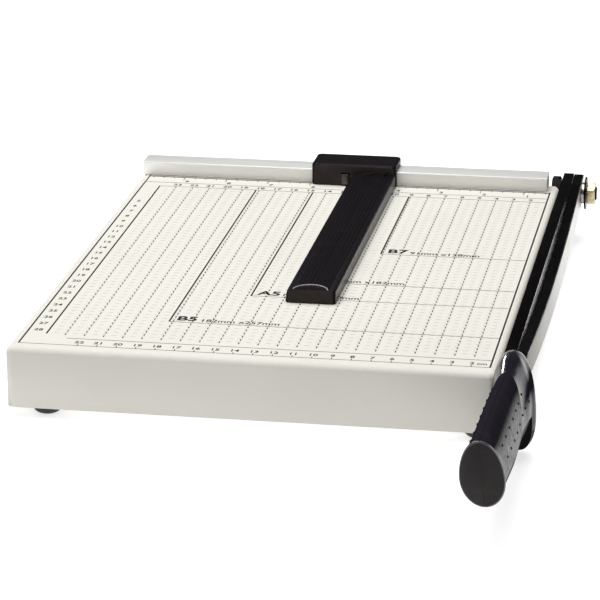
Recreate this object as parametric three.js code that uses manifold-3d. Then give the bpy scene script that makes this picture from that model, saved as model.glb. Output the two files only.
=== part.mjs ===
// Guillotine paper cutter: a folded steel table with a fixed lower knife on its right edge, a
// hinged upper knife with a plastic handle, and a paper stop that slides along the rear rail.
//
// Every piece is laid out in one layout frame, in millimetres. X runs to the right from the
// cutting edge, Y runs to the back from the front foot of the rail, and Z is up from the top of
// the table. The finished group is then moved so that its origin is the centre of its footprint.

import * as THREE from 'three';
import { mergeVertices } from 'three/addons/utils/BufferGeometryUtils.js';
import Module from 'manifold-3d';

const wasm = await Module();
wasm.setup();

// ---------------------------------------------------------------- driving dimensions

const GAP = 0.3; // clearance between pieces that touch

const TABLE = {
  left: -255.5,
  right: -6.3,
  front: -310,
  rear: 19.5,
  height: 31.5,
  sheet: 1.5,
  cornerRadius: 4,
  foldRadius: 3.2,
  lip: 18, // width of the returned lip along the bottom of the front and rear walls
};

const FOOT = { radius: 8, height: 5.7, flatRadius: 3.5, stemRadius: 2.3, inset: 12 };
const FOOT_X = [-237, -16];
const FOOT_Y = [TABLE.front + FOOT.inset, TABLE.rear - FOOT.inset];

const RAIL = { left: -254.9, right: -12.5, front: 3.5, rear: 19, top: 8.4, channel: 8, roof: 3.6 };
const RAIL_SCREW_X = [-240, -90, -27];

const BED_KNIFE = { left: -6, right: 0, front: -307, rear: 49, height: 26, rearRound: 4 };
const BED_SCREW_Y = [-285, -190, -90, 5];
const BED_SCREW_Z = -15;

const PIVOT = { y: 29, z: -7, shoulderRadius: 5, threadRadius: 4 };
const PIVOT_HEAD = { acrossFlats: 17, thickness: 5.2 };
const PIVOT_NUT = { acrossFlats: 12, thickness: 5 };

const KNIFE = { left: 0.3, right: 6, rear: 49, front: -321, tangFront: -425, tangHalfHeight: 8 };
const SPRING_WASHER = { inner: 4.4, outer: 6.2, thickness: 1.7 };
const FLAT_WASHER = { inner: 4.4, outer: 9.7, thickness: 1 };

const HANDLE = {
  x: 3.3, // plane of the seam between the two shells
  rear: -315,
  length: 138, // along the height middle, where the sloping end face crosses it
  middle: 5,
  endSlope: 0.58, // how far the end face leans forward for each millimetre of height
  wall: 2.8,
};
const GUARD = { foot: -32, notchRear: 13, notchFront: 21.5, notchRoot: -13 };
const HANDLE_SCREW_Y = [-345, -400];
const HANDLE_SEAT = 5; // depth of the screw seats and of the screw holes beyond the seam

const STOP = { left: -151.7, right: -101.2, front: -1.2, rear: 22, bottom: 0.5, top: 13 };
const ARM = { left: -128.5, right: -101.5, front: -218, top: 7.5, bottom: 0.4 };
const ARM_RIBS = { count: 9, left: -124.6, pitch: 2.2, width: 1.1, depth: 0.8 };
const ARM_PAD = { halfWidth: 9.5, rise: 9 };
const CLIP = { left: -133.4, right: -129.2, sheet: 0.8 };
const STOP_SCREW_X = [-121, -109];

// ---------------------------------------------------------------- helpers

function material(color, roughness, metalness) {
  return new THREE.MeshStandardMaterial({ color, roughness, metalness });
}

const finishes = {
  cream: () => material(0xe6e3d8, 0.5, 0.1),
  aluminium: () => material(0xd8d8d4, 0.4, 0.8),
  blackSteel: () => material(0x141313, 0.35, 0.5),
  blade: () => material(0x8f8e8a, 0.3, 0.9),
  zinc: () => material(0xc9c09a, 0.35, 0.9),
  spring: () => material(0xa49b98, 0.35, 0.9),
  plastic: () => material(0x26262a, 0.45, 0),
  rubber: () => material(0x151515, 0.85, 0),
};

// A closed three.js geometry as a solid for boolean work.
function solid(geometry) {
  const bare = geometry.clone();
  bare.deleteAttribute('normal');
  bare.deleteAttribute('uv');
  const merged = mergeVertices(bare, 1e-4);
  return new wasm.Manifold(new wasm.Mesh({
    numProp: 3,
    vertProperties: new Float32Array(merged.attributes.position.array),
    triVerts: new Uint32Array(merged.index.array),
  }));
}

// A named mesh from a solid or from a geometry.
function piece(name, shape, finish) {
  let geometry = shape;
  if (!shape.isBufferGeometry) {
    const mesh = shape.getMesh();
    geometry = new THREE.BufferGeometry();
    geometry.setAttribute('position', new THREE.BufferAttribute(mesh.vertProperties, 3));
    geometry.setIndex(new THREE.BufferAttribute(mesh.triVerts, 1));
  }
  const mesh = new THREE.Mesh(geometry, finish());
  mesh.name = name;
  return mesh;
}

function box(x0, x1, y0, y1, z0, z1) {
  const geometry = new THREE.BoxGeometry(x1 - x0, y1 - y0, z1 - z0);
  return geometry.translate((x0 + x1) / 2, (y0 + y1) / 2, (z0 + z1) / 2);
}

// Maps a shape drawn in Y and Z to an extrusion along X, starting at x0.
function extrudeX(shape, x0, x1, curveSegments = 12) {
  const geometry = new THREE.ExtrudeGeometry(shape, {
    depth: x1 - x0,
    bevelEnabled: false,
    curveSegments,
  });
  const toX = new THREE.Matrix4().makeBasis(
    new THREE.Vector3(0, 1, 0),
    new THREE.Vector3(0, 0, 1),
    new THREE.Vector3(1, 0, 0),
  );
  return geometry.applyMatrix4(toX).translate(x0, 0, 0);
}

// Maps a shape drawn in X and Z to an extrusion from y1 towards the front, ending at y0.
function extrudeY(shape, y0, y1) {
  const geometry = new THREE.ExtrudeGeometry(shape, { depth: y1 - y0, bevelEnabled: false });
  const toY = new THREE.Matrix4().makeBasis(
    new THREE.Vector3(1, 0, 0),
    new THREE.Vector3(0, 0, 1),
    new THREE.Vector3(0, -1, 0),
  );
  return geometry.applyMatrix4(toY).translate(0, y1, 0);
}

function roundedRectangle(x0, x1, y0, y1, radius) {
  const shape = new THREE.Shape();
  shape.absarc(x1 - radius, y1 - radius, radius, 0, Math.PI / 2);
  shape.absarc(x0 + radius, y1 - radius, radius, Math.PI / 2, Math.PI);
  shape.absarc(x0 + radius, y0 + radius, radius, Math.PI, 1.5 * Math.PI);
  shape.absarc(x1 - radius, y0 + radius, radius, 1.5 * Math.PI, 2 * Math.PI);
  return shape;
}

// A block with rounded upright corners and rounded top edges; its foot is left square.
function roundedBlock({ x0, x1, y0, y1, z0, z1, corner, edge, segments }) {
  const outline = roundedRectangle(x0 + edge, x1 - edge, y0 + edge, y1 - edge, corner - edge);
  const geometry = new THREE.ExtrudeGeometry(outline, {
    depth: z1 - z0,
    curveSegments: segments,
    bevelThickness: edge,
    bevelSize: edge,
    bevelSegments: segments,
  });
  geometry.translate(0, 0, z0 - edge);
  const below = box(x0 - 1, x1 + 1, y0 - 1, y1 + 1, z0 - 2 * edge - 1, z0);
  return solid(geometry).subtract(solid(below));
}

// A turned piece about the X axis; the profile holds [x, radius] pairs.
function turnedX(profile, segments = 32) {
  const points = profile.map(([x, radius]) => new THREE.Vector2(radius, x));
  return new THREE.LatheGeometry(points, segments).rotateZ(-Math.PI / 2);
}

// A turned piece about the Z axis; the profile holds [radius, z] pairs.
function turnedZ(profile, segments = 24) {
  const points = profile.map(([radius, z]) => new THREE.Vector2(radius, z));
  return new THREE.LatheGeometry(points, segments).rotateX(Math.PI / 2);
}

function rodX(radius, x0, x1, segments = 32) {
  return turnedX([[x0, 0], [x0, radius], [x1, radius], [x1, 0]], segments);
}

function rodZ(radius, z0, z1, segments = 20) {
  return turnedZ([[0, z0], [radius, z0], [radius, z1], [0, z1]], segments);
}

// A hexagonal bar along X with two flats upright, so that a corner points up.
function hexagonX(acrossFlats, x0, x1) {
  const corner = acrossFlats / Math.sqrt(3);
  const shape = new THREE.Shape();
  for (let i = 0; i < 6; i += 1) {
    const angle = (i + 0.5) * Math.PI / 3;
    const place = i === 0 ? 'moveTo' : 'lineTo';
    shape[place](corner * Math.cos(angle), corner * Math.sin(angle));
  }
  shape.closePath();
  return extrudeX(shape, x0, x1);
}

// The double cone that trims the corners off a hexagon's faces.
function hexTrim(acrossFlats, x0, x1, trimLeft, trimRight) {
  const corner = acrossFlats / Math.sqrt(3) + 0.1;
  const flat = acrossFlats / 2;
  const slope = (corner - flat) * 0.6;
  return turnedX([
    [x0, 0],
    [x0, trimLeft ? flat : corner],
    [x0 + slope, corner],
    [x1 - slope, corner],
    [x1, trimRight ? flat : corner],
    [x1, 0],
  ], 36);
}

function subtractAll(body, cutters) {
  return cutters.reduce((rest, cutter) => rest.subtract(solid(cutter)), body);
}

// ---------------------------------------------------------------- table

function tableTray() {
  const { left, right, front, rear, height, sheet, cornerRadius, foldRadius, lip } = TABLE;
  const outside = roundedBlock({
    x0: left, x1: right, y0: front, y1: rear, z0: -height, z1: 0,
    corner: cornerRadius, edge: foldRadius, segments: 4,
  });
  const inside = roundedBlock({
    x0: left + sheet, x1: right - sheet, y0: front + sheet, y1: rear - sheet,
    z0: -height + sheet, z1: -sheet,
    corner: cornerRadius - sheet, edge: foldRadius - sheet, segments: 3,
  });
  const mouth = box(
    left + sheet, right - sheet, front + lip, rear - lip, -height - 1, -height + sheet + 1,
  );
  const footHoles = FOOT_X.flatMap((x) => FOOT_Y.map(
    (y) => rodZ(FOOT.stemRadius + GAP, -height - 1, -height + sheet + 1).translate(x, y, 0),
  ));
  const railHoles = RAIL_SCREW_X.map(
    (x) => rodZ(2 + GAP, -sheet - 1, 1).translate(x, railMiddle(), 0),
  );
  const knifeHoles = BED_SCREW_Y.map(
    (y) => rodX(2.5 + GAP, right - sheet - 1, right + 1, 20).translate(0, y, BED_SCREW_Z),
  );
  const hollow = outside.subtract(inside).subtract(solid(mouth));
  return subtractAll(hollow, [...footHoles, ...railHoles, ...knifeHoles]);
}

// A domed rubber foot with a push-in stem and its retaining bulb.
function rubberFoot() {
  const { radius, height, flatRadius, stemRadius } = FOOT;
  const lipTop = TABLE.sheet + GAP;
  const profile = [[0, -height], [flatRadius, -height]];
  const steps = 5;
  for (let i = 1; i <= steps; i += 1) {
    const turn = (i / steps) * (Math.PI / 2);
    const r = flatRadius + (radius - flatRadius) * Math.sin(turn);
    profile.push([r, -height + (height - 1) * (1 - Math.cos(turn))]);
  }
  profile.push(
    [radius, -GAP],
    [stemRadius, -GAP],
    [stemRadius, lipTop],
    [stemRadius + 1.3, lipTop + 0.4],
    [stemRadius - 0.8, lipTop + 3],
    [0, lipTop + 3],
  );
  return turnedZ(profile, 20);
}

// ---------------------------------------------------------------- rail

function railMiddle() {
  return (RAIL.front + RAIL.rear) / 2;
}

// Inverted channel bar with small chamfers on its top edges.
function rail() {
  const { left, right, front, rear, top, channel, roof } = RAIL;
  const chamfer = 0.6;
  const inner = [railMiddle() - channel / 2, railMiddle() + channel / 2];
  const shape = new THREE.Shape();
  shape.moveTo(front, GAP);
  shape.lineTo(inner[0], GAP);
  shape.lineTo(inner[0], top - roof);
  shape.lineTo(inner[1], top - roof);
  shape.lineTo(inner[1], GAP);
  shape.lineTo(rear, GAP);
  shape.lineTo(rear, top - chamfer);
  shape.lineTo(rear - chamfer, top);
  shape.lineTo(front + chamfer, top);
  shape.lineTo(front, top - chamfer);
  shape.closePath();
  const holes = RAIL_SCREW_X.map(
    (x) => rodZ(2 + GAP, top - roof - 1, top - 0.9).translate(x, railMiddle(), 0),
  );
  return subtractAll(solid(extrudeX(shape, left, right)), holes);
}

// Pan-head screw: the seat of its head is at z = 0 and its shank points up.
function panScrew({ headRadius, headHeight, shankRadius, length, segments = 14 }) {
  return turnedZ([
    [0, -headHeight],
    [headRadius * 0.75, -headHeight],
    [headRadius, -headHeight * 0.6],
    [headRadius, 0],
    [shankRadius, 0],
    [shankRadius, length - 0.5],
    [shankRadius - 0.5, length],
    [0, length],
  ], segments);
}

// ---------------------------------------------------------------- lower knife and pivot

function bedKnife() {
  const { left, right, front, rear, height, rearRound } = BED_KNIFE;
  const shape = new THREE.Shape();
  shape.moveTo(front, 0);
  shape.lineTo(front, -height);
  shape.lineTo(rear - rearRound, -height);
  shape.absarc(rear - rearRound, -height + rearRound, rearRound, -Math.PI / 2, 0);
  shape.absarc(rear - rearRound, -rearRound, rearRound, 0, Math.PI / 2);
  shape.closePath();
  const threads = BED_SCREW_Y.map(
    (y) => rodX(2.5 + GAP, left - 1, right - 1.5, 20).translate(0, y, BED_SCREW_Z),
  );
  const pivotHole = rodX(PIVOT.shoulderRadius + GAP, left - 1, right + 1)
    .translate(0, PIVOT.y, PIVOT.z);
  return subtractAll(solid(extrudeX(shape, left, right, 6)), [...threads, pivotHole]);
}

// Places along X of the pieces stacked on the pivot bolt, outwards from the upper knife.
const STACK = (() => {
  const springLeft = KNIFE.right + GAP / 2;
  const springRight = springLeft + SPRING_WASHER.thickness;
  const washerLeft = springRight + GAP / 2;
  const washerRight = washerLeft + FLAT_WASHER.thickness;
  const nutLeft = washerRight + GAP / 2;
  const nutRight = nutLeft + PIVOT_NUT.thickness;
  return { springLeft, springRight, washerLeft, washerRight, nutLeft, nutRight };
})();

// Shoulder bolt: hexagonal head on the left, shoulder through both knives, thread for the nut.
function pivotBolt() {
  const { acrossFlats, thickness } = PIVOT_HEAD;
  const headRight = BED_KNIFE.left - GAP;
  const headLeft = headRight - thickness;
  const shoulderEnd = KNIFE.right - 0.2;
  const boltEnd = STACK.nutRight + 1;
  const head = solid(hexagonX(acrossFlats, headLeft, headRight))
    .intersect(solid(hexTrim(acrossFlats, headLeft, headRight, true, false)));
  const shank = turnedX([
    [headLeft + 1, 0],
    [headLeft + 1, PIVOT.shoulderRadius],
    [shoulderEnd, PIVOT.shoulderRadius],
    [shoulderEnd, PIVOT.threadRadius],
    [boltEnd - 0.6, PIVOT.threadRadius],
    [boltEnd, PIVOT.threadRadius - 0.6],
    [boltEnd, 0],
  ]);
  return head.add(solid(shank));
}

// Split spring washer: a ring with a narrow slanting cut.
function springWasher() {
  const { inner, outer } = SPRING_WASHER;
  const ring = new THREE.Shape().absarc(0, 0, outer, 0, 2 * Math.PI);
  ring.holes.push(new THREE.Path().absarc(0, 0, inner, 0, 2 * Math.PI));
  const body = solid(extrudeX(ring, STACK.springLeft, STACK.springRight, 16));
  const cut = box(-3, 3, -0.5, 0.5, inner - 1, outer + 1)
    .rotateZ(Math.PI / 6)
    .translate((STACK.springLeft + STACK.springRight) / 2, 0, 0)
    .rotateX(Math.PI * 0.8);
  return body.subtract(solid(cut));
}

function flatWasher() {
  const { inner, outer } = FLAT_WASHER;
  return turnedX([
    [STACK.washerLeft, inner],
    [STACK.washerLeft, outer],
    [STACK.washerRight, outer],
    [STACK.washerRight, inner],
    [STACK.washerLeft, inner],
  ], 36);
}

function pivotNut() {
  const { acrossFlats } = PIVOT_NUT;
  const { nutLeft, nutRight } = STACK;
  return solid(hexagonX(acrossFlats, nutLeft, nutRight))
    .intersect(solid(hexTrim(acrossFlats, nutLeft, nutRight, true, true)))
    .subtract(solid(rodX(PIVOT.threadRadius + GAP, nutLeft - 1, nutRight + 1)));
}

// ---------------------------------------------------------------- upper knife

// Both long edges of the upper knife are shallow arcs, close enough to parabolas.
function knifeTop(y) {
  const lowest = -7.5;
  const middle = -130;
  return Math.min(0, lowest + (y - middle) ** 2 / 3000);
}

function knifeEdge(y) {
  const lowest = -34.5;
  const middle = -115;
  return lowest + (y - middle) ** 2 / 2100;
}

// Side outline of the upper knife with its tang; grow widens the handle end for a clearance.
function knifeOutline(grow = 0) {
  const { rear, front, tangFront, tangHalfHeight } = KNIFE;
  const step = 18.5;
  const stations = Math.round((rear - front) / step);
  const at = (i) => rear - (i * (rear - front)) / stations;
  const rearRound = 4;
  const shape = new THREE.Shape();
  shape.moveTo(rear, -rearRound);
  shape.lineTo(rear - rearRound * 0.3, -rearRound * 0.3);
  shape.lineTo(rear - rearRound, 0);
  for (let i = 1; i < stations; i += 1) {
    shape.lineTo(at(i), knifeTop(at(i)) + grow);
  }
  shape.lineTo(front - grow, knifeTop(front) + grow);
  shape.lineTo(front - grow, tangHalfHeight - 3 + grow);
  shape.lineTo(tangFront - grow, tangHalfHeight - 1 + grow);
  shape.lineTo(tangFront - grow, -tangHalfHeight + 3 - grow);
  shape.lineTo(front - grow, -tangHalfHeight - grow);
  for (let i = stations; i > 0; i -= 1) {
    shape.lineTo(at(i) - (i === stations ? grow : 0), knifeEdge(at(i)) - grow);
  }
  shape.lineTo(rear - rearRound, knifeEdge(rear - rearRound));
  shape.lineTo(rear, knifeEdge(rear) + rearRound);
  shape.closePath();
  return shape;
}

function upperKnife() {
  const holes = [
    rodX(PIVOT.shoulderRadius + GAP, -1, KNIFE.right + 1).translate(0, PIVOT.y, PIVOT.z),
    ...HANDLE_SCREW_Y.map((y) => rodX(2.2, -1, KNIFE.right + 1, 20).translate(0, y, 0)),
  ];
  return subtractAll(solid(extrudeX(knifeOutline(), KNIFE.left, KNIFE.right)), holes);
}

// ---------------------------------------------------------------- handle

// A smooth step from 0 to 1 as t goes from 0 to 1.
function ease(t) {
  const held = Math.min(1, Math.max(0, t));
  return held * held * (3 - 2 * held);
}

// A smooth hump of height 1 around one place along the handle.
function bump(s, middle, spread) {
  return Math.exp(-(((s - middle) / spread) ** 2));
}

// Height of the handle's upper outline at distance s in front of its rear face: a round bulb,
// a neck, then the long grip.
function gripTop(s) {
  const line = 17.3 + 0.052 * s - 3.8 * Math.exp(-s / 4);
  return line + 1.7 * bump(s, 18, 11) - 1.4 * bump(s, 44, 11);
}

// Height of its lower outline, as if the notch behind the guard were filled.
function gripFoot(s) {
  const { foot, notchRear, notchFront } = GUARD;
  const belly = -22.5 + 0.0013 * (s - 58) ** 2;
  return foot + (belly - foot) * ease((s - notchRear) / (notchFront - notchRear));
}

// Height that the notch between the guard and the grip is cut up to.
function notchHeight(s, foot) {
  const { notchRear, notchFront, notchRoot } = GUARD;
  const depth = Math.min(ease((s - notchRear) / 2), ease((notchFront + 3 - s) / 5));
  return foot + (notchRoot - foot) * depth;
}

// Half the thickness: guard, bulb, slim grip and the flared end.
function gripHalfWidth(s) {
  const grip = 8.1 + 0.7 * ease((s - 40) / 40);
  const flare = 2.2 * Math.exp((s - HANDLE.length) / 5);
  return grip + 3.1 * bump(s, 7, 7) + 1.6 * bump(s, 20, 10) + flare;
}

// The handle as one bar with an oval section that changes along it. Its sections lean further
// and further forward, up to the slope of the end face. inset shrinks it on every side.
function gripBar(inset, s0, s1, sides, stations) {
  const { x, rear, length, middle, endSlope } = HANDLE;
  const geometry = new THREE.CylinderGeometry(1, 1, 1, sides, stations);
  const position = geometry.attributes.position;
  for (let i = 0; i < position.count; i += 1) {
    const s = s0 + (0.5 - position.getY(i)) ** 1.4 * (s1 - s0);
    const lean = endSlope * ease((s - 45) / (length - 45));
    const top = gripTop(s + lean * (gripTop(s) - middle)) - inset;
    const foot = gripFoot(s + lean * (gripFoot(s) - middle)) + inset;
    const toEnd = ease((s - 30) / 105);
    const widest = foot + (top - foot) * (0.3 + 0.12 * toEnd);
    const reach = position.getZ(i) > 0 ? top - widest : widest - foot;
    const height = Math.max(widest + position.getZ(i) * reach, notchHeight(s, foot));
    const fullness = position.getZ(i) > 0 ? 0.85 + 0.15 * toEnd : 0.45 + 0.55 * toEnd;
    const share = Math.sign(position.getX(i)) * Math.abs(position.getX(i)) ** fullness;
    const across = share * (gripHalfWidth(s) - inset);
    position.setXYZ(i, x + across, rear - s - lean * (height - middle), height);
  }
  return solid(geometry);
}

function handleBody() {
  return gripBar(0, 0, HANDLE.length, 28, 34);
}

// The hollow inside the handle, around its screw bosses and the ribs that carry the tang.
function handleHollow() {
  const { x, length, wall } = HANDLE;
  const ribPitch = 28;
  const firstRib = -365;
  const bosses = HANDLE_SCREW_Y.map((y) => rodX(5, x - 20, x + 20, 20).translate(0, y, 0));
  const ribs = [0, 1, 2].map((i) => {
    const y = firstRib - i * ribPitch;
    return box(x - 20, x + 20, y - 1.2, y + 1.2, -40, 40);
  });
  return subtractAll(gripBar(wall, wall, length - wall, 20, 14), [...bosses, ...ribs]);
}

// One half of the handle; side is -1 for the left shell and +1 for the right one.
function handleShell(side) {
  const { x } = HANDLE;
  const seam = 0.1;
  const other = side < 0 ? box(x - seam, x + 60, -600, 0, -80, 80)
    : box(x - 60, x + seam, -600, 0, -80, 80);
  const tang = extrudeX(knifeOutline(GAP), KNIFE.left - GAP, KNIFE.right + GAP);
  const headSeat = x - HANDLE_SEAT;
  const screwHoles = HANDLE_SCREW_Y.flatMap((y) => [
    rodX(1.9, x - 30, x + HANDLE_SEAT, 20).translate(0, y, 0),
    rodX(3.7, x - 30, headSeat, 20).translate(0, y, 0),
  ]);
  return subtractAll(handleBody().subtract(handleHollow()), [tang, other, ...screwHoles]);
}

function handleScrew(y) {
  const screw = panScrew({ headRadius: 3.4, headHeight: 2.2, shankRadius: 1.6, length: 9.5 });
  return screw.rotateY(Math.PI / 2).translate(HANDLE.x - HANDLE_SEAT - GAP, y, 0);
}

// ---------------------------------------------------------------- sliding paper stop

function stopHead() {
  const { left, right, front, rear, bottom, top } = STOP;
  const block = roundedBlock({
    x0: left, x1: right, y0: front, y1: rear, z0: bottom, z1: top,
    corner: 3, edge: 1.4, segments: 3,
  });
  const channel = box(
    left - 1, right + 1, RAIL.front - GAP, RAIL.rear + GAP, bottom - 1, RAIL.top + GAP,
  );
  const clipSlot = box(CLIP.left - GAP, CLIP.right + GAP, front - 1, RAIL.front, 5.9, 7.9);
  const clipPocket = box(CLIP.left - GAP, CLIP.right + GAP, 1.6, RAIL.front, 1.8, 7.9);
  const screwHoles = STOP_SCREW_X.flatMap((x) => [
    rodZ(1.5 + GAP, -4, 4).rotateX(Math.PI / 2).translate(x, 0, 3.9),
    rodZ(2.9, -3, 3).rotateX(Math.PI / 2).translate(x, 4.2, 3.9),
  ]);
  return subtractAll(block, [channel, clipSlot, clipPocket, ...screwHoles]);
}

// Cross-section of the arm with its lengthwise ribs, drawn in X and Z.
function armSection() {
  const { left, right, top, bottom } = ARM;
  const { count, left: ribLeft, pitch, width, depth } = ARM_RIBS;
  const shape = new THREE.Shape();
  shape.moveTo(left, bottom);
  shape.lineTo(right, bottom);
  shape.lineTo(right, top - 0.6);
  shape.lineTo(right - 0.6, top);
  for (let i = count - 1; i >= 0; i -= 1) {
    const x = ribLeft + i * pitch;
    shape.lineTo(x + pitch, top);
    shape.lineTo(x + pitch - 0.15, top - depth);
    shape.lineTo(x + width + 0.15, top - depth);
    shape.lineTo(x + width, top);
  }
  shape.lineTo(ribLeft, top);
  shape.lineTo(ribLeft - 0.3, top - depth);
  shape.lineTo(left + 1.2, top - depth);
  shape.closePath();
  return shape;
}

// Smooth thumb pad at the arm's front end, bounded behind by an arc.
function armPad() {
  const { left, right, front, top } = ARM;
  const { halfWidth, rise } = ARM_PAD;
  const middle = (left + right) / 2;
  const radius = (halfWidth ** 2 + rise ** 2) / (2 * rise);
  const reach = Math.asin(halfWidth / radius);
  const shape = new THREE.Shape();
  shape.absarc(middle, front + rise - radius, radius, Math.PI / 2 - reach, Math.PI / 2 + reach);
  shape.closePath();
  const geometry = new THREE.ExtrudeGeometry(shape, {
    depth: 3,
    bevelEnabled: false,
    curveSegments: 16,
  });
  return geometry.translate(0, 0.01, top - 3);
}

function stopArm() {
  const { left, right, front, top, bottom } = ARM;
  const root = STOP.front - GAP;
  const corner = 2.5;
  const outline = roundedRectangle(left - 0.01, right + 0.01, front, root + 20, corner);
  const envelope = new THREE.ExtrudeGeometry(outline, {
    depth: top - bottom + 2,
    bevelEnabled: false,
    curveSegments: 4,
  }).translate(0, 0, bottom - 1);
  const screwHoles = STOP_SCREW_X.map(
    (x) => rodZ(1.5 + GAP, -14, 2).rotateX(-Math.PI / 2).translate(x, 0, 3.9),
  );
  const body = solid(extrudeY(armSection(), front, root))
    .add(solid(armPad()))
    .intersect(solid(envelope));
  return subtractAll(body, screwHoles);
}

// Bent steel clip: it hangs on the front of the head and bears on the rail's front face.
function stopClip() {
  const { left, right, sheet } = CLIP;
  const face = STOP.front - GAP;
  const behind = RAIL.front - GAP - sheet;
  const shelf = 6.5;
  const shape = new THREE.Shape();
  shape.moveTo(face, 1.2);
  shape.lineTo(face - sheet, 1.2);
  shape.lineTo(face - sheet, shelf + sheet);
  shape.lineTo(behind + sheet, shelf + sheet);
  shape.lineTo(behind + sheet, 2.4);
  shape.lineTo(behind, 2.4);
  shape.lineTo(behind, shelf);
  shape.lineTo(face, shelf);
  shape.closePath();
  return extrudeX(shape, left, right);
}

// Screw that fastens the arm to the head from inside the rail channel.
function stopScrew(x) {
  const screw = panScrew({ headRadius: 2.6, headHeight: 1.5, shankRadius: 1.5, length: 11 });
  return screw.rotateX(Math.PI / 2).translate(x, 1.2 + GAP, 3.9);
}

// ---------------------------------------------------------------- assembly

const cutter = new THREE.Group();
const layout = new THREE.Group();
cutter.add(layout);

layout.add(piece('table_tray', tableTray(), finishes.cream));

const footNames = [['foot_front_left', 'foot_rear_left'], ['foot_front_right', 'foot_rear_right']];
FOOT_X.forEach((x, i) => FOOT_Y.forEach((y, j) => {
  const foot = piece(footNames[i][j], rubberFoot(), finishes.rubber);
  foot.position.set(x, y, -TABLE.height);
  layout.add(foot);
}));

layout.add(piece('ruler_rail', rail(), finishes.aluminium));
RAIL_SCREW_X.forEach((x, i) => {
  const geometry = panScrew({ headRadius: 3.8, headHeight: 2.6, shankRadius: 2, length: 8.5 });
  const screw = piece(`rail_screw_${i + 1}`, geometry, finishes.zinc);
  screw.position.set(x, railMiddle(), -TABLE.sheet - GAP);
  layout.add(screw);
});

layout.add(piece('bed_knife', bedKnife(), finishes.blackSteel));
BED_SCREW_Y.forEach((y, i) => {
  const geometry = panScrew({ headRadius: 4.6, headHeight: 3, shankRadius: 2.5, length: 5.5 });
  const screw = piece(`bed_knife_screw_${i + 1}`, geometry, finishes.zinc);
  screw.rotation.y = Math.PI / 2;
  screw.position.set(TABLE.right - TABLE.sheet - GAP, y, BED_SCREW_Z);
  layout.add(screw);
});

const pivot = new THREE.Group();
pivot.position.set(0, PIVOT.y, PIVOT.z);
pivot.add(piece('pivot_bolt', pivotBolt(), finishes.blackSteel));
pivot.add(piece('spring_washer', springWasher(), finishes.spring));
pivot.add(piece('flat_washer', flatWasher(), finishes.blackSteel));
pivot.add(piece('pivot_nut', pivotNut(), finishes.zinc));
layout.add(pivot);

layout.add(piece('upper_knife', upperKnife(), finishes.blade));
layout.add(piece('handle_shell_left', handleShell(-1), finishes.plastic));
layout.add(piece('handle_shell_right', handleShell(1), finishes.plastic));
HANDLE_SCREW_Y.forEach((y, i) => {
  layout.add(piece(`handle_screw_${i + 1}`, handleScrew(y), finishes.zinc));
});

layout.add(piece('stop_head', stopHead(), finishes.plastic));
layout.add(piece('stop_arm', stopArm(), finishes.plastic));
layout.add(piece('stop_clip', stopClip(), finishes.spring));
STOP_SCREW_X.forEach((x, i) => {
  layout.add(piece(`stop_screw_${i + 1}`, stopScrew(x), finishes.zinc));
});

// The origin is the centre of the footprint, on the surface that the feet stand on.
const bounds = new THREE.Box3().setFromObject(cutter);
const centre = bounds.getCenter(new THREE.Vector3());
layout.position.set(-centre.x, -centre.y, -bounds.min.z);

export default cutter;
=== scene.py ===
"""Looks for the guillotine paper cutter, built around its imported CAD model."""

import math

import bmesh
import bpy
from mathutils import Matrix, Vector


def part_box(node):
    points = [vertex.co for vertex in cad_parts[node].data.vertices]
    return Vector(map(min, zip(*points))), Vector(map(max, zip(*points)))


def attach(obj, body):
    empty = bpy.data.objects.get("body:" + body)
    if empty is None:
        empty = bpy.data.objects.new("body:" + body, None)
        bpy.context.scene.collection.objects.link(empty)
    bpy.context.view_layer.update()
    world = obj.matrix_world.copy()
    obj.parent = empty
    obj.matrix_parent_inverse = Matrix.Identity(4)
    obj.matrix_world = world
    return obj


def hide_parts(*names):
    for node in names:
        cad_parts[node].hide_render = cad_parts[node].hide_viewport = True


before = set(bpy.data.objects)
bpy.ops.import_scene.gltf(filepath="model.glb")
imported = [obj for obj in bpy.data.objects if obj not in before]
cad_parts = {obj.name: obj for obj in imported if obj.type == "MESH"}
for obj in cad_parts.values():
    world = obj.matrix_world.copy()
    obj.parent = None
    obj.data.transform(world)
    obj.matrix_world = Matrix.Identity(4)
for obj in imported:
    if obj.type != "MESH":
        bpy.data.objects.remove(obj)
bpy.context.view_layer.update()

# ------------------------------------------------------------------ layout
# Shapes are laid out in millimetres: X from the cutting edge, Y from the front foot of the
# rail (towards the back) and Z from the table top. SHIFT takes them to the row frame.

MM = 0.001
TABLE_LEFT = -255.5
TABLE_FRONT = -310.0
TABLE_HEIGHT = 31.5
HANDLE_X = 3.3  # plane of the seam between the two halves of the handle
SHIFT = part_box("table_tray")[0] - Vector((TABLE_LEFT, TABLE_FRONT, -TABLE_HEIGHT)) * MM
RIGHT = Vector((1, 0, 0))
FORWARD = Vector((0, -1, 0))
UP = Vector((0, 0, 1))


def row(x, y, z):
    """A layout point, in millimetres, as a point of the row frame in metres."""
    return Vector((x, y, z)) * MM + SHIFT


# ------------------------------------------------------------------ materials


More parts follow.
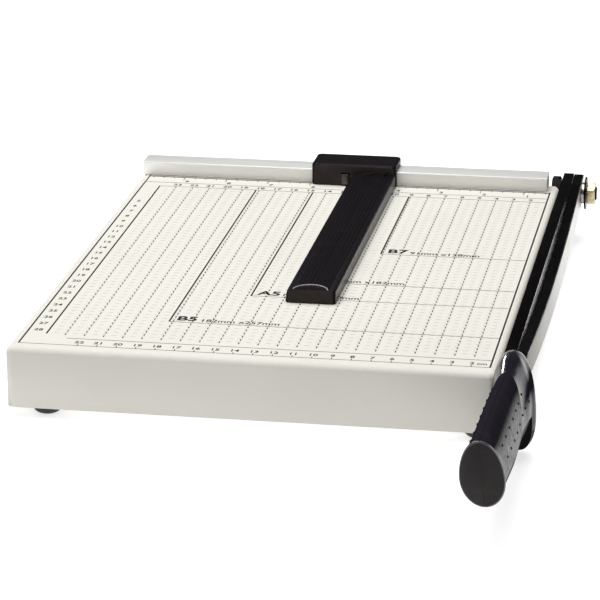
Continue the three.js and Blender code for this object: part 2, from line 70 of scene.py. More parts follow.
class Finish:
    """Builds one procedural material around a Principled shader."""

    def __init__(self, name, color, roughness, metallic=0.0):
        self.material = bpy.data.materials.new(name)
        self.material.use_nodes = True
        tree = self.material.node_tree
        self.nodes = tree.nodes
        self.links = tree.links
        self.shader = self.nodes["Principled BSDF"]
        self.shader.inputs["Base Color"].default_value = (*color, 1)
        self.shader.inputs["Roughness"].default_value = roughness
        self.shader.inputs["Metallic"].default_value = metallic
        self.color = color
        self.roughness = roughness
        self.where = self.nodes.new("ShaderNodeTexCoord").outputs["Object"]
        self.normal = None

    def along(self, axis, start=0.0):
        """Distance along an axis of object space, in metres from start."""
        split = self.nodes.new("ShaderNodeSeparateXYZ")
        self.links.new(self.where, split.inputs["Vector"])
        shift = self.nodes.new("ShaderNodeMath")
        shift.operation = "SUBTRACT"
        shift.inputs[1].default_value = start
        self.links.new(split.outputs[axis], shift.inputs[0])
        return shift.outputs[0]

    def set(self, **values):
        for key, value in values.items():
            self.shader.inputs[key.replace("_", " ")].default_value = value
        return self

    def noise(self, scale, stretch=(1, 1, 1), detail=3.0, roughness=0.6):
        """Noise over object space; scale is in features per metre."""
        mapping = self.nodes.new("ShaderNodeMapping")
        mapping.inputs["Scale"].default_value = stretch
        self.links.new(self.where, mapping.inputs["Vector"])
        noise = self.nodes.new("ShaderNodeTexNoise")
        noise.inputs["Scale"].default_value = scale
        noise.inputs["Detail"].default_value = detail
        noise.inputs["Roughness"].default_value = roughness
        self.links.new(mapping.outputs["Vector"], noise.inputs["Vector"])
        return noise.outputs["Fac"]

    def ramp(self, source, low, high, low_at=0.3, high_at=0.7, shape="LINEAR"):
        """source mapped from low_at..high_at to low..high."""
        node = self.nodes.new("ShaderNodeMapRange")
        node.interpolation_type = shape
        node.inputs["From Min"].default_value = low_at
        node.inputs["From Max"].default_value = high_at
        node.inputs["To Min"].default_value = low
        node.inputs["To Max"].default_value = high
        self.links.new(source, node.inputs["Value"])
        return node.outputs["Result"]

    def tint(self, source, other, low_at=0.35, high_at=0.7):
        """Mixes the colour so far towards other where source is high."""
        mix = self.nodes.new("ShaderNodeMix")
        mix.data_type = "RGBA"
        base = self.shader.inputs["Base Color"]
        if base.is_linked:
            self.links.new(base.links[0].from_socket, mix.inputs[6])
        else:
            mix.inputs[6].default_value = (*self.color, 1)
        mix.inputs[7].default_value = (*other, 1)
        self.links.new(self.ramp(source, 0, 1, low_at, high_at), mix.inputs[0])
        self.links.new(mix.outputs[2], base)
        return self

    def vary_roughness(self, source, amount):
        spread = self.ramp(source, self.roughness - amount, self.roughness + amount)
        self.links.new(spread, self.shader.inputs["Roughness"])
        return self

    def bump(self, source, distance, strength=1.0):
        """Adds relief of the given height in metres to what is there already."""
        node = self.nodes.new("ShaderNodeBump")
        node.inputs["Distance"].default_value = distance
        node.inputs["Strength"].default_value = strength
        self.links.new(source, node.inputs["Height"])
        if self.normal:
            self.links.new(self.normal, node.inputs["Normal"])
        self.normal = node.outputs["Normal"]
        self.links.new(self.normal, self.shader.inputs["Normal"])
        return self


def table_paint():
    """Warm white powder coat: faint orange peel, slight soiling."""
    f = Finish("table_paint", (0.66, 0.642, 0.592), 0.42)
    f.tint(f.noise(14, detail=4), (0.635, 0.617, 0.567), 0.45, 0.75)
    f.vary_roughness(f.noise(45), 0.05)
    f.bump(f.noise(700, detail=2), 0.00003, 0.25)
    f.bump(f.noise(1900, detail=2), 0.00001, 0.3)
    return f.set(Specular_IOR_Level=0.0).material


def ink(name, color):
    """Printing ink with slight wear."""
    f = Finish(name, color, 0.45)
    f.tint(f.noise(2500), tuple(min(1, c * 1.6 + 0.01) for c in color), 0.5, 0.8)
    f.vary_roughness(f.noise(900), 0.08)
    return f.material


def aluminium(name, color, metallic=0.15):
    """Drawn and satin anodised: fine lines along X."""
    f = Finish(name, color, 0.42, metallic)
    f.tint(f.noise(25, (0.2, 1, 1)), tuple(c * 0.93 for c in color), 0.45, 0.8)
    f.vary_roughness(f.noise(400, (0.03, 1, 1)), 0.1)
    f.bump(f.noise(2500, (0.01, 1, 1), detail=2), 0.00001, 0.35)
    return f.material


def black_gloss():
    """Baked black lacquer on the knives."""
    f = Finish("black_lacquer", (0.003, 0.0025, 0.0028), 0.16)
    f.tint(f.noise(60), (0.006, 0.005, 0.0055), 0.5, 0.8)
    f.vary_roughness(f.noise(180), 0.07)
    f.bump(f.noise(500, detail=2), 0.00003, 0.3)
    return f.set(Specular_IOR_Level=0.03).material


def ground_steel(name, color, roughness, grain, front=None, metallic=1.0):
    """Ground steel with fine scratches; grain stretches them along one axis.
    front is a darker colour painted towards the handle as painted shade; the reflections are tinted
    with it too."""
    f = Finish(name, color, roughness, metallic)
    if not metallic:
        f.set(Specular_IOR_Level=0.0)
    f.tint(f.noise(30, (1, 0.4, 1), detail=5), tuple(c * 0.82 for c in color), 0.45, 0.75)
    # Painted shade: the colour, and the reflections through the specular tint, darken towards the
    # handle.
    if front:
        f.tint(f.along("Y"), front, 0.17, -0.09)
        f.links.new(f.shader.inputs["Base Color"].links[0].from_socket,
                    f.shader.inputs["Specular Tint"])
    f.vary_roughness(f.noise(900, grain), 0.08)
    f.bump(f.noise(3000, grain, detail=2), 0.00001, 0.5)
    f.bump(f.noise(220, grain, detail=2), 0.00002, 0.25)
    return f.material


def zinc():
    """Yellow passivated zinc, mottled."""
    f = Finish("zinc_plate", (0.52, 0.45, 0.29), 0.3, 0.9)
    f.tint(f.noise(420), (0.36, 0.29, 0.17), 0.4, 0.75)
    f.vary_roughness(f.noise(700), 0.1)
    f.bump(f.noise(1500), 0.00002, 0.3)
    return f.material


def spring_steel(name, color):
    """Bare tempered steel."""
    f = Finish(name, color, 0.32, 1.0)
    f.tint(f.noise(500), tuple(c * 0.75 for c in color), 0.4, 0.8)
    f.vary_roughness(f.noise(900), 0.08)
    f.bump(f.noise(2200), 0.00001, 0.4)
    return f.material


def plastic(name, color, roughness, grain_height, specular):
    """Moulded plastic with a spark-eroded grain."""
    f = Finish(name, color, roughness)
    f.tint(f.noise(90, detail=4), tuple(c * 1.5 for c in color), 0.5, 0.85)
    f.vary_roughness(f.noise(300), 0.07)
    f.bump(f.noise(2600, detail=2), grain_height, 0.35)
    f.set(Specular_IOR_Level=specular)
    return f


def handle_plastic(name, color, roughness, grain_height, ridge, flank, band, low_flank=0.0):
    """Plastic whose shine changes between the ridge of the handle and its worn flanks: over
    band, in metres from the seam, and again below the middle height."""
    f = plastic(name, color, roughness, grain_height, ridge)
    from_seam = f.nodes.new("ShaderNodeMath")
    from_seam.operation = "ABSOLUTE"
    f.links.new(f.along("X", row(HANDLE_X, 0, 0).x), from_seam.inputs[0])
    total = f.nodes.new("ShaderNodeMath")
    f.links.new(f.ramp(from_seam.outputs[0], ridge, flank, *band, "SMOOTHERSTEP"),
                total.inputs[0])
    height = f.along("Z", row(0, 0, 0).z)
    f.links.new(f.ramp(height, 0, low_flank, 0.001, -0.009, "SMOOTHERSTEP"), total.inputs[1])
    f.links.new(total.outputs[0], f.shader.inputs["Specular IOR Level"])
    return f


def rubber():
    """Dusty black rubber of the feet."""
    f = Finish("foot_rubber", (0.016, 0.016, 0.016), 0.6)
    f.tint(f.noise(250), (0.03, 0.029, 0.027), 0.5, 0.8)
    f.vary_roughness(f.noise(500), 0.1)
    f.bump(f.noise(1800), 0.00002, 0.4)
    return f.material


PAINT = table_paint()
INK = ink("print_black", (0.012, 0.012, 0.012))
FAINT_INK = ink("print_grey", (0.38, 0.37, 0.345))
ALUMINIUM = aluminium("rail_aluminium", (0.61, 0.61, 0.59))
# Paler copy of the rail aluminium for its front face: painted light.
RAIL_FRONT_PAINTED_LIGHT = aluminium("rail_front_painted_light", (0.98, 0.97, 0.93), 0.2)
LACQUER = black_gloss()
# Both knife steels darken towards the handle: painted shade.
BLADE_STEEL_SHADED = ground_steel("blade_steel_painted_shade", (0.82, 0.82, 0.80), 0.32, (1, 1, 0.03),
                           (0.33, 0.32, 0.30))
BEVEL_STEEL_SHADED = ground_steel("bevel_steel_painted_shade", (0.90, 0.90, 0.88), 0.5, (1, 0.03, 1),
                           (0.36, 0.35, 0.33), 0.0)
EDGE_STEEL = ground_steel("edge_steel", (0.72, 0.71, 0.69), 0.25, (1, 0.03, 1))
ZINC = zinc()
SPRING = spring_steel("spring_steel", (0.50, 0.46, 0.45))
CLIP_STEEL = spring_steel("clip_steel", (0.11, 0.105, 0.10))
GRIP_PLASTIC = handle_plastic("grip_plastic", (0.015, 0.0135, 0.018), 0.3, 0.00002,
                              0.0, 0.034, (0.0055, 0.0094)).material
GUARD_PLASTIC = handle_plastic("guard_plastic", (0.012, 0.011, 0.016), 0.2, 0.000005,
                               0.10, 0.0, (0.0060, 0.0086), 0.035).material
END_PLASTIC = plastic("end_plastic", (0.010, 0.0075, 0.0075), 0.4, 0.00001, 0.1).material
# Darker, duller plastic for the underside of the grip: painted shade.
BELLY_PAINTED_SHADE = plastic("belly_plastic_painted_shade", (0.006, 0.005, 0.006), 0.5, 0.00001, 0.03).material
# Lighter plastic for the rounded rim of the handle's end face: a painted highlight.
RIM_PAINTED_HIGHLIGHT = plastic("rim_painted_highlight", (0.06, 0.058, 0.056), 0.3, 0.00001, 0.4).material
STOP_PLASTIC = plastic("stop_plastic", (0.008, 0.0065, 0.0085), 0.36, 0.00002, 0.06).material
# Lighter copy of the stop plastic for its forward faces: painted light.
STOP_FRONT_PAINTED_LIGHT = plastic("stop_front_painted_light", (0.042, 0.034, 0.031), 0.4, 0.00002, 0.05).material
# Lighter copy of the stop plastic for the arm's right face: a painted reflection of the table.
STOP_SIDE_PAINTED_REFLECTION = plastic("stop_side_painted_reflection", (0.030, 0.027, 0.025), 0.34, 0.00001, 0.5).material
# Light grey for the lip on the stop's black plastic: a painted highlight.
LIP_PAINTED_HIGHLIGHT = plastic("lip_painted_highlight", (0.30, 0.29, 0.28), 0.3, 0.00001, 0.5).material
RUBBER = rubber()

# ------------------------------------------------------------------ mesh helpers


def shade(obj, angle=35):
    """Smooth shading, with edges sharper than angle kept crisp."""
    obj.data.shade_smooth()
    obj.data.set_sharp_from_angle(angle=math.radians(angle))


def add_bevel(obj, width, segments=2, angle=30):
    bevel = obj.modifiers.new("bevel", "BEVEL")
    bevel.width = width * MM
    bevel.segments = segments
    bevel.limit_method = "ANGLE"
    bevel.angle_limit = math.radians(angle)
    bevel.harden_normals = False
    return bevel


class Body:
    """Gathers closed solids in layout millimetres for one mesh."""

    def __init__(self):
        self.verts = []
        self.faces = []
        self.slots = []

    def add(self, verts, faces, slot=0):
        base = len(self.verts)
        self.verts += verts
        self.faces += [[base + i for i in face] for face in faces]
        self.slots += slot if isinstance(slot, list) else [slot] * len(faces)

    def box(self, x0, x1, y0, y1, z0, z1, slot=0):
        verts = [(x, y, z) for z in (z0, z1) for y in (y0, y1) for x in (x0, x1)]
        faces = [[0, 2, 3, 1], [4, 5, 7, 6], [0, 1, 5, 4], [2, 6, 7, 3], [0, 4, 6, 2], [1, 3, 7, 5]]
        self.add(verts, faces, slot)

    def loft(self, rings, slot=None):
        """Rings of equal length, joined in order and closed with flat ends."""
        count = len(rings[0])
        verts = [point for ring in rings for point in ring]
        faces = []
        slots = []
        for r in range(len(rings) - 1):
            for i in range(count):
                j = (i + 1) % count
                faces.append([r * count + i, r * count + j,
                              (r + 1) * count + j, (r + 1) * count + i])
                slots.append(slot(r, i) if slot else 0)
        last = (len(rings) - 1) * count
        faces.append(list(range(count))[::-1])
        faces.append([last + i for i in range(count)])
        slots += [slots[0], slots[-1]]
        self.add(verts, faces, slots)

    def build(self, name, materials, body, slot, replaces=()):
        mesh = bpy.data.meshes.new(name)
        mesh.from_pydata([row(*v) for v in self.verts], [], self.faces)
        obj = bpy.data.objects.new(name, mesh)
        bpy.context.scene.collection.objects.link(obj)
        for material in materials:
            mesh.materials.append(material)
        mesh.polygons.foreach_set("material_index", self.slots)
        mesh.validate()
        turn_outwards(mesh)
        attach(obj, body)
        for node in replaces:
            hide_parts(node)
        return obj


def turn_outwards(mesh):
    """Makes every face point out of its solid."""
    bm = bmesh.new()
    bm.from_mesh(mesh)
    bmesh.ops.recalc_face_normals(bm, faces=bm.faces)
    bm.to_mesh(mesh)
    bm.free()


def carry(node, material, bevel=0.0, segments=2, angle=30):
    """Keeps a CAD node, with its seams welded, softened edges and a finish."""
    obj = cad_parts[node]
    obj.data.materials.clear()
    obj.data.materials.append(material)
    weld = obj.modifiers.new("weld", "WELD")
    weld.merge_threshold = 0.00001
    if bevel:
        add_bevel(obj, bevel, segments, angle)
    normals = obj.data.attributes.get("custom_normal")
    if normals:
        obj.data.attributes.remove(normals)
    shade(obj, angle)
    return obj


def flat_planes(obj):
    """Keeps large flat faces evenly lit beside the rounded ones they run into."""
    modifier = obj.modifiers.new("flat_planes", "WEIGHTED_NORMAL")
    modifier.mode = "FACE_AREA"
    modifier.weight = 100
    modifier.keep_sharp = True


def finish_side(obj, direction, material):
    """Gives the flat faces that look one way a finish of their own."""
    obj.data.materials.append(material)
    last = len(obj.data.materials) - 1
    for polygon in obj.data.polygons:
        if polygon.normal.dot(direction) > 0.9:
            polygon.material_index = last


# ------------------------------------------------------------------ print on the table

# Distances are millimetres left of the cutting edge (u) and forward of the rail (v).

PRINT_HEIGHT = 0.06
HEAVY, THICK, DASHED, THIN, FAINT = 1.3, 0.9, 0.62, 0.42, 0.22  # widths of the lines
INCH = 25.4
BORDER = (10.5, 250.5)
BORDER_FRONT = 300.7
REAR_LINE = -1.6  # heavy line under the edge of the rail
INCH_BAND = 10.0  # line in front of the inch scale
FIRST_ROW = 17.7  # rear line of the grid
DEPTH_BAND = 240.0  # left line of the grid, beside the depth numbers
DEPTH_BAND_FRONT = 285.0
DEPTH_NUMBERS = 245.5
DASHES_FRONT = 289.0
NUMBER_BAND = 290.5  # line behind the front numbers
NUMBER_BAND_LEFT = 228.0
FRONT_NUMBERS = 298.2  # foot of the front numbers, with their ticks just below
PAPERS = [("B7", 91, 128), ("B6", 128, 182), ("A5", 148, 210), ("B5", 182, 257)]


def strip(body, u0, u1, v0, v1, slot=0):
    """A printed bar from u0 to u1 and from v0 to v1."""
    body.box(-u1, -u0, -v1, -v0, 0.01, PRINT_HEIGHT, slot)


def line_across(body, v, u0, u1, weight, slot=0):
    """A line from left to right."""
    strip(body, u0, u1, v - weight / 2, v + weight / 2, slot)


def line_deep(body, u, v0, v1, weight, slot=0):
    """A line from back to front."""
    strip(body, u - weight / 2, u + weight / 2, v0, v1, slot)


def printed_lines():
    """Border, scales' ticks and the paper frames."""
    body = Body()
    right, left = BORDER
    rail_foot = -3.0
    line_deep(body, right, rail_foot, BORDER_FRONT, THICK)
    line_deep(body, left, rail_foot, BORDER_FRONT, THICK)
    line_deep(body, DEPTH_BAND, FIRST_ROW, DEPTH_BAND_FRONT, THICK)
    line_across(body, BORDER_FRONT, right, left, THIN)
    line_across(body, NUMBER_BAND, right, NUMBER_BAND_LEFT, THIN)
    line_across(body, REAR_LINE, right, left, HEAVY)
    line_across(body, INCH_BAND, right, left, THIN)
    line_across(body, FIRST_ROW, right, DEPTH_BAND, THIN)
    quarters = int(left / INCH * 4)
    for i in range(1, quarters + 1):
        u = i * INCH / 4
        if right < u < left:
            length = 5.0 if i % 4 == 0 else 1.8
            line_deep(body, u, -1, -1 + length, THIN)
    for u in range(20, 230, 10):
        line_deep(body, u, FRONT_NUMBERS + 0.2, BORDER_FRONT, THIN)
    for _, width, height in PAPERS:
        line_deep(body, width, FIRST_ROW, height, THICK)
        line_across(body, height, right, width, THIN)
    return body


def dashed_grid(body):
    """Dashes along the depth at each centimetre, and faint ones across it."""
    pitch, dash = 5.0, 2.2
    for u in range(20, 240, 10):
        for i in range(int((DASHES_FRONT - FIRST_ROW) / pitch)):
            v = FIRST_ROW + 1 + i * pitch
            line_deep(body, u, v, v + dash, DASHED)
    for i in range(1, 54):
        v = FIRST_ROW + i * pitch
        for u in range(14, 236, 5):
            line_across(body, v, u, u + 2.6, FAINT, 1)
    return body


def label(text, u, v, size, width=1.0, align="CENTER", weight=0.07):
    """Flat numerals lying on the table, read from the front."""
    curve = bpy.data.curves.new("label", "FONT")
    curve.body = text
    curve.size = size * MM
    curve.align_x = align
    curve.align_y = "BOTTOM"
    curve.offset = weight * MM
    curve.extrude = (PRINT_HEIGHT - 0.01) / 2 * MM
    curve.resolution_u = 3
    obj = bpy.data.objects.new("label", curve)
    bpy.context.scene.collection.objects.link(obj)
    obj.matrix_world = (Matrix.Translation(row(-u, -v, (PRINT_HEIGHT + 0.01) / 2))
                        @ Matrix.Diagonal((width, 1, 1, 1)))
    return obj


def joined_labels(name, labels, body):
    """Turns text objects into one printed mesh."""
    bpy.context.view_layer.update()
    graph = bpy.context.evaluated_depsgraph_get()
    bm = bmesh.new()
    for obj in labels:
        mesh = bpy.data.meshes.new_from_object(obj.evaluated_get(graph))
        mesh.transform(obj.matrix_world)
        bm.from_mesh(mesh)
        bpy.data.meshes.remove(mesh)
    for obj in labels:
        curve = obj.data
        bpy.data.objects.remove(obj)
        bpy.data.curves.remove(curve)
    bmesh.ops.remove_doubles(bm, verts=bm.verts, dist=0.000002)
    mesh = bpy.data.meshes.new(name)
    bm.to_mesh(mesh)
    bm.free()
    mesh.materials.append(INK)
    obj = bpy.data.objects.new(name, mesh)
    bpy.context.scene.collection.objects.link(obj)
    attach(obj, body)
    return obj


def printed_numbers():
    """Depth, front, rear centimetre and rear inch numbers, then the paper sizes."""
    labels = []
    for n in range(5, 29):
        labels.append(label(str(n), DEPTH_NUMBERS, n * 10 + 2.0, 4.6, 1.05))
    for n in range(2, 23):
        labels.append(label(str(n), n * 10, FRONT_NUMBERS, 4.6, 1.1))
    labels.append(label("cm", 15, FRONT_NUMBERS, 4.0, 1.1))
    for n in range(2, 24):
        labels.append(label(str(n), n * 10, 16.4, 4.8, 1.1))
    for n in range(1, 10):
        labels.append(label(str(n), n * INCH - 2.6, 9.0, 4.8, 1.1))
    for name, width, height in PAPERS:
        labels.append(label(name, width - 3, height - 0.8, 9.0, 1.15, "LEFT", 0.28))
        size_text = f"{width}mm x{height}mm"
        labels.append(label(size_text, width - 15.5, height - 0.8, 6.0, 1.02, "LEFT", 0.05))
    return labels


grid = dashed_grid(printed_lines())
grid.build("printed_grid", [INK, FAINT_INK], "base", "painted_table")
joined_labels("printed_numbers", printed_numbers(), "base")

# ------------------------------------------------------------------ CAD nodes with finishes

table = carry("table_tray", PAINT, angle=40)
flat_planes(table)
rail = carry("ruler_rail", ALUMINIUM, bevel=0.12)
# The rail's front face gets the paler copy: painted light.
finish_side(rail, FORWARD, RAIL_FRONT_PAINTED_LIGHT)
for corner in ("front_left", "front_right", "rear_left", "rear_right"):
    carry(f"foot_{corner}", RUBBER, angle=50)
for i in (1, 2, 3):
    carry(f"rail_screw_{i}", ZINC, bevel=0.15)
for i in (1, 2, 3, 4):
    carry(f"bed_knife_screw_{i}", ZINC, bevel=0.15)
bolt = carry("pivot_bolt", LACQUER, bevel=0.3)
finish_side(bolt, RIGHT, ZINC)
carry("flat_washer", LACQUER, bevel=0.15)
carry("spring_washer", SPRING, bevel=0.15)
carry("pivot_nut", ZINC, bevel=0.25)
stop_head = carry("stop_head", STOP_PLASTIC, angle=35)
# The forward faces of the head and arm get painted light.
finish_side(stop_head, FORWARD, STOP_FRONT_PAINTED_LIGHT)
flat_planes(stop_head)
stop_arm = carry("stop_arm", STOP_PLASTIC, bevel=0.12)
finish_side(stop_arm, FORWARD, STOP_FRONT_PAINTED_LIGHT)
# The arm's right face gets the painted reflection.
finish_side(stop_arm, RIGHT, STOP_SIDE_PAINTED_REFLECTION)
carry("stop_clip", CLIP_STEEL, bevel=0.1)
for i in (1, 2):
    carry(f"handle_screw_{i}", ZINC, bevel=0.2)
    carry(f"stop_screw_{i}", ZINC, bevel=0.15)

PAD_MIDDLE = (-115.0, -218.5)  # centre of the arc behind the thumb pad
PAD_TOP = 7.5
PAD_RADIUS = 9.3


def pad_lip():
    """Fine raised lip along the arc behind the thumb pad of the size stop, coloured light grey as a
    painted highlight.
    """
    body = Body()
    thickness = 0.42
    first, last, steps = math.radians(7), math.radians(173), 28
    spokes = [2 * math.pi * k / 10 for k in range(10)]
    centre = Vector((*PAD_MIDDLE, PAD_TOP))
    rings = []
    for i in range(steps + 1):
        turn = first + (last - first) * i / steps
        out = Vector((math.cos(turn), math.sin(turn), 0))
        rings.append([tuple(centre + out * (PAD_RADIUS + thickness * math.cos(a))
                            + UP * thickness * math.sin(a)) for a in spokes])
    body.loft(rings)
    obj = body.build("thumb_pad_lip", [LIP_PAINTED_HIGHLIGHT], "size_stop", "black_plastic")
    shade(obj, 50)


pad_lip()

# ------------------------------------------------------------------ knives

KNIFE_LEFT, KNIFE_RIGHT = 0.3, 6.0
KNIFE_FRONT, KNIFE_REAR = -318.0, 49.0
REAR_ROUND = 4  # radius of the knife's rounded rear end
BEVEL_SHARE = 0.4  # part of the knife's height that the ground bevel takes
KNIFE_STATIONS = 74


def bed_knife():
    """Fixed knife: black top and rear, ground right face with a sharp upper edge."""
    obj = carry("bed_knife", LACQUER, bevel=0.2)
    finish_side(obj, RIGHT, EDGE_STEEL)


def knife_top(y):
    """Height of the upper knife's top edge."""
    return min(0.0, -7.5 + (y + 130) ** 2 / 3000)


def knife_edge(y):
    """Height of the upper knife's cutting edge."""
    return -34.5 + (y + 115) ** 2 / 2100


def upper_knife():
    """Forged curved knife: lacquered back, bright ground sides, long ground bevel.
    It is solid at the pivot, so the bolt passes through it without a hole."""
    body = Body()
    left, right = KNIFE_LEFT, KNIFE_RIGHT
    chamfer = 0.45
    rings = []
    for i in range(KNIFE_STATIONS + 1):
        t = i / KNIFE_STATIONS
        y = KNIFE_FRONT + (KNIFE_REAR - KNIFE_FRONT) * t
        end = max(0.0, y - (KNIFE_REAR - REAR_ROUND)) / REAR_ROUND
        trim = REAR_ROUND * (1 - math.sqrt(max(0.0, 1 - end * end)))
        top = knife_top(y) - trim
        low = knife_edge(y) + trim
        bevel = (top - low) * BEVEL_SHARE
        rings.append([
            (left, y, top - 0.2),
            (left + 0.3, y, top),
            (right - chamfer, y, top),
            (right, y, top - chamfer),
            (right, y, low + bevel),
            (right - 0.2, y, low + bevel - 1),
            (left + 1.4, y, low),
            (left, y, low),
        ])
    finishes = (0, 0, 2, 1, 3, 3, 1, 1)  # material of the face after each point of a ring
    body.loft(rings, lambda r, i: finishes[i])
    obj = body.build("knife_blade_detail", [LACQUER, BLADE_STEEL_SHADED, EDGE_STEEL, BEVEL_STEEL_SHADED],
                     "knife_arm", "ground_steel", ["upper_knife"])
    shade(obj, 30)


bed_knife()
upper_knife()

# ------------------------------------------------------------------ handle

HANDLE_REAR = -315.0
MIDDLE = 5.0  # height at which distances along the handle are measured
LENGTH = 138.0
END_SLOPE = 0.58
GUARD_FOOT = -32.0
NOTCH = (13.0, 21.5)  # gap between the guard and the belly of the grip
NOTCH_ROOT = -13.0
GLOSSY_END = 40.0  # the guard and bulb are glossy up to here, the grip is duller
END_ROUND = 1.5  # rounding of the end face's rim
RING_POINTS = 30
FIRST_BELLY = 18  # outline points from the top seam down to the belly, which is dull and painted darker as painted shade
UPPER_STUDS = {-1: (57.0, 11.4, 50), 1: (36.7, 13.4, 34)}  # first, step, angle of each side
LOWER_STUDS = [22.5, 30] + [38 + 14.5 * i for i in range(6)]
LOWER_STUD_ANGLE = 12


def ease(t):
    """Smooth step from 0 to 1."""
    t = min(1.0, max(0.0, t))
    return t * t * (3 - 2 * t)


def bump(s, middle, spread):
    """A smooth hump of height 1 around one place along the handle."""
    return math.exp(-((s - middle) / spread) ** 2)


def grip_top(s):
    """Upper outline: a round bulb at the rear, a neck, then the long grip."""
    line = 17.3 + 0.052 * s - 3.8 * math.exp(-max(s, 0) / 4)
    return line + 1.7 * bump(s, 18, 11) - 1.4 * bump(s, 44, 11)


def grip_foot(s):
    """Lower outline, as if the notch were filled."""
    belly = -22.5 + 0.0013 * (s - 58) ** 2
    return GUARD_FOOT + (belly - GUARD_FOOT) * ease((s - NOTCH[0]) / (NOTCH[1] - NOTCH[0]))


def notch_height(s, foot):
    """Lowest height of the skin at s: the foot, or the root of the notch."""
    depth = min(ease((s - NOTCH[0]) / 2), ease((NOTCH[1] + 3 - s) / 5))
    return foot + (NOTCH_ROOT - foot) * depth


def grip_half_width(s):
    """Half the thickness: guard, bulb, slim grip and the flared end."""
    grip = 8.1 + 0.7 * ease((s - 40) / 40)
    return grip + 3.1 * bump(s, 7, 7) + 1.6 * bump(s, 20, 10) + 2.2 * math.exp((s - LENGTH) / 5)


def lean_at(s):
    """Forward lean of a section, growing up to the slope of the end face."""
    return END_SLOPE * ease((s - 45) / (LENGTH - 45))


def section(s, inset=0.0):
    """Top, foot, widest height, half width and way to the end of the oval at distance s."""
    lean = lean_at(s)
    top = grip_top(s + lean * (grip_top(s) - MIDDLE)) - inset
    foot = grip_foot(s + lean * (grip_foot(s) - MIDDLE)) + inset
    to_end = ease((s - 30) / 105)
    widest = foot + (top - foot) * (0.3 + 0.12 * to_end)
    return top, foot, widest, grip_half_width(s) - inset, to_end


def rim(s, angle, inset=0.0):
    """Distance from the seam plane and height of the skin at an angle round the section."""
    top, foot, widest, half, to_end = section(s, inset)
    reach = (top - widest) if angle > 0 else (widest - foot)
    power = 0.85 + 0.15 * to_end if angle > 0 else 0.45 + 0.55 * to_end
    return half * max(0.0, math.cos(angle)) ** power, widest + reach * math.sin(angle)


def surface_point(s, angle, side, lift=0.0):
    """A point of the handle's skin and the outward direction there."""
    across, height = rim(s, angle)
    nearby = rim(s, angle + 0.01)
    out = Vector((side * (nearby[1] - height), 0, across - nearby[0])).normalized()
    y = HANDLE_REAR - s - lean_at(s) * (height - MIDDLE)
    return Vector((HANDLE_X + side * across, y, height)) + out * lift, out


def handle_ring(s, side, inset=0.0):
    """Closed outline of one half of the section, from the top seam round to the foot seam."""
    seam, groove = 0.03, 0.16
    cut = notch_height(s, section(s, inset)[1])
    outline = []
    for i in range(RING_POINTS + 1):
        across, height = rim(s, math.pi / 2 - math.pi * i / RING_POINTS, inset)
        outline.append((max(groove, across), max(height, cut - 0.02 * i / RING_POINTS)))
    ring = [(seam, outline[0][1] - groove)] + outline + [(seam, outline[-1][1] + groove)]
    lean = lean_at(s)
    return [(HANDLE_X + side * x, HANDLE_REAR - s - lean * (z - MIDDLE), z) for x, z in ring]


def add_stud(body, s, angle, side, radius=0.75, height=0.45):
    """Small raised dot on the grip."""
    centre, out = surface_point(s, angle, side, -0.15)
    across = out.cross(FORWARD).normalized()
    rings = []
    for level, share in ((0, 1.0), (0.35, 0.95), (0.7, 0.75), (0.92, 0.45), (1.0, 0.15)):
        ring = []
        for k in range(10):
            turn = 2 * math.pi * k / 10
            spoke = across * math.cos(turn) + FORWARD * math.sin(turn)
            ring.append(tuple(centre + out * (height + 0.15) * level + spoke * radius * share))
        rings.append(ring)
    body.loft(rings, lambda r, i: 0)


def handle_stations():
    """Distances of the sections, closer together at the rear rim, the notch and the end."""
    a, b = NOTCH
    stations = [0.0, 0.25, 1.1, 1.5, 2.2, 3.5, 5, 7, 9, 11, a - 0.4, a, a + 0.3, a + 0.6, a + 0.9,
                a + 1.2, a + 1.6, a + 2.2, (a + b) / 2, b - 2.6, b - 1.8, b - 1.0, b - 0.2,
                b + 0.6, b + 1.4, b + 2.2, b + 3.2, 28]
    stations += [28 + (LENGTH - 30) * i / 40 for i in range(1, 41)]
    return stations + [LENGTH - short for short in (END_ROUND, 1.1, 0.7, 0.35, 0.1, 0)]


def station_inset(s):
    """How far the skin is drawn in: at the rear rim, in the groove after it, and at the end."""
    from_end = LENGTH - s
    if s < 0.2:
        return 0.25
    if 1.4 < s < 2.0:
        return 0.35
    if from_end < END_ROUND:
        reach = END_ROUND ** 2 - (END_ROUND - from_end) ** 2
        return min(END_ROUND - math.sqrt(max(0.0, reach)), 1.3)
    return 0.0


def handle_shell(name, side, node):
    """One half of the handle, with its raised dots, in place of its plain solid.
    It is closed: the screws and the knife run into it without seats or a slot."""
    body = Body()
    stations = handle_stations()
    end_rings, rim_rings = 2, 4
    grip, guard, end, belly, rounded = range(5)

    def finish(r, i):
        if r >= len(stations) - end_rings:
            return end
        # The rounded rim of the end face gets the lighter plastic: a painted highlight.
        if r >= len(stations) - end_rings - rim_rings:
            return rounded
        # Below FIRST_BELLY the underside gets the darker plastic: painted shade.
        if i > FIRST_BELLY:
            return belly
        return guard if stations[r] < GLOSSY_END else grip

    body.loft([handle_ring(s, side, station_inset(s)) for s in stations], finish)
    first, step, angle = UPPER_STUDS[side]
    for i in range(7):
        add_stud(body, first + step * i, math.radians(angle), side)
    for s in LOWER_STUDS:
        add_stud(body, s, math.radians(LOWER_STUD_ANGLE), side)
    obj = body.build(name, [GRIP_PLASTIC, GUARD_PLASTIC, END_PLASTIC, BELLY_PAINTED_SHADE,
                            RIM_PAINTED_HIGHLIGHT], "knife_arm", "black_plastic", [node])
    shade(obj, 32)
    return obj


handle_halves = [
    handle_shell("handle_half_left", -1, "handle_shell_left"),
    handle_shell("handle_half_right", 1, "handle_shell_right"),
]

# ------------------------------------------------------------------ stage, light and camera


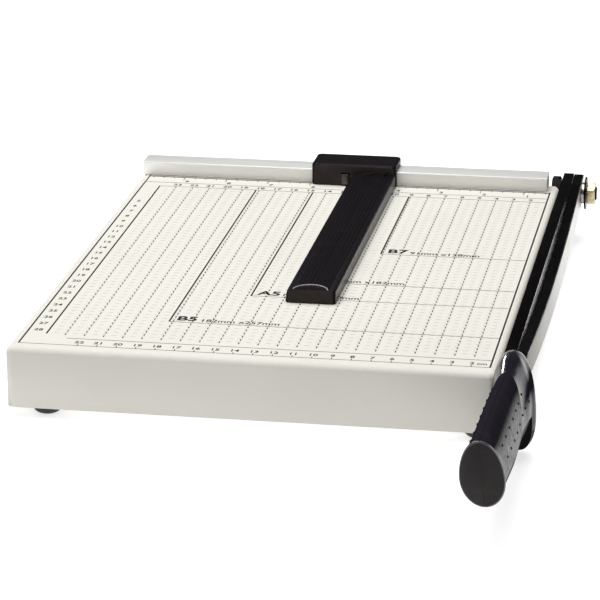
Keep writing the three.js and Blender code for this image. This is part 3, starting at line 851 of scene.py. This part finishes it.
def stage():
    """Pale paper floor that glows white under the cutter and fades out far away."""
    body = bpy.data.meshes.new("floor")
    reach = 6.0
    white_until, fade_end = 0.85, 1.25
    corners = [(-reach, -reach, 0), (reach, -reach, 0), (reach, reach, 0), (-reach, reach, 0)]
    body.from_pydata([Vector(c) for c in corners], [], [[0, 1, 2, 3]])
    floor = bpy.data.objects.new("floor", body)
    bpy.context.scene.collection.objects.link(floor)
    f = Finish("floor_paper", (0.60, 0.60, 0.60), 0.9)
    f.tint(f.noise(3), (0.59, 0.59, 0.59))
    f.set(Emission_Color=(1, 1, 1, 1))
    distance = f.nodes.new("ShaderNodeVectorMath")
    distance.operation = "LENGTH"
    f.links.new(f.where, distance.inputs[0])
    glow = f.ramp(distance.outputs["Value"], 0.7, 0.15, white_until, fade_end, "SMOOTHSTEP")
    f.links.new(glow, f.shader.inputs["Emission Strength"])
    body.materials.append(f.material)


def area_light(name, place, aim, size, power):
    """Rectangular lamp at place, in metres, pointed at aim."""
    data = bpy.data.lights.new(name, "AREA")
    data.shape = "RECTANGLE"
    data.size, data.size_y = size
    data.energy = power
    light = bpy.data.objects.new(name, data)
    bpy.context.scene.collection.objects.link(light)
    light.location = place
    light.rotation_euler = (Vector(aim) - Vector(place)).to_track_quat("-Z", "Y").to_euler()
    return light


def lighting():
    """Soft light from above and the front, and two glints for the glossy handle alone."""
    world = bpy.data.worlds.new("studio")
    bpy.context.scene.world = world
    world.use_nodes = True
    background = world.node_tree.nodes["Background"]
    background.inputs["Color"].default_value = (1, 1, 1, 1)
    background.inputs["Strength"].default_value = 0.05
    area_light("overhead", (-0.22, 0.1, 1.75), (-0.1, 0, 0), (1.9, 1.9), 55)
    glossy = bpy.data.collections.new("glossy_handle")
    for half in handle_halves:
        glossy.objects.link(half)
    handle = (0.12, -0.12, 0.05)
    for name, place, size, power in (
        ("glint_left", (-0.66, 1.40, 0.40), (0.34, 0.16), 10),
        ("glint_right", (1.37, 1.13, 0.25), (0.26, 0.14), 9),
    ):
        glint = area_light(name, place, handle, size, power)
        glint.visible_diffuse = False
        glint.light_linking.receiver_collection = glossy
    area_light("front_fill", (-1.5, -2.3, 1.0), (0, 0, 0), (1.6, 1.0), 4.5)


def camera():
    """Long lens, a little to the right of the cutter and looking down on it."""
    data = bpy.data.cameras.new("camera")
    data.sensor_width = 36
    data.lens = 182.2
    data.clip_end = 50
    cam = bpy.data.objects.new("camera", data)
    bpy.context.scene.collection.objects.link(cam)
    forward = Vector((-0.16691, 0.93234, -0.32077)).normalized()
    roll = math.radians(-0.405)
    level_right = forward.cross(UP).normalized()
    level_up = level_right.cross(forward)
    right = level_right * math.cos(roll) + level_up * math.sin(roll)
    up = right.cross(forward)
    place = row(145.52, -1702.96, 512.73)
    cam.matrix_world = Matrix((
        (right.x, up.x, -forward.x, place.x),
        (right.y, up.y, -forward.y, place.y),
        (right.z, up.z, -forward.z, place.z),
        (0, 0, 0, 1),
    ))
    bpy.context.scene.camera = cam


stage()
lighting()
camera()
bpy.context.scene.view_settings.view_transform = "Standard"
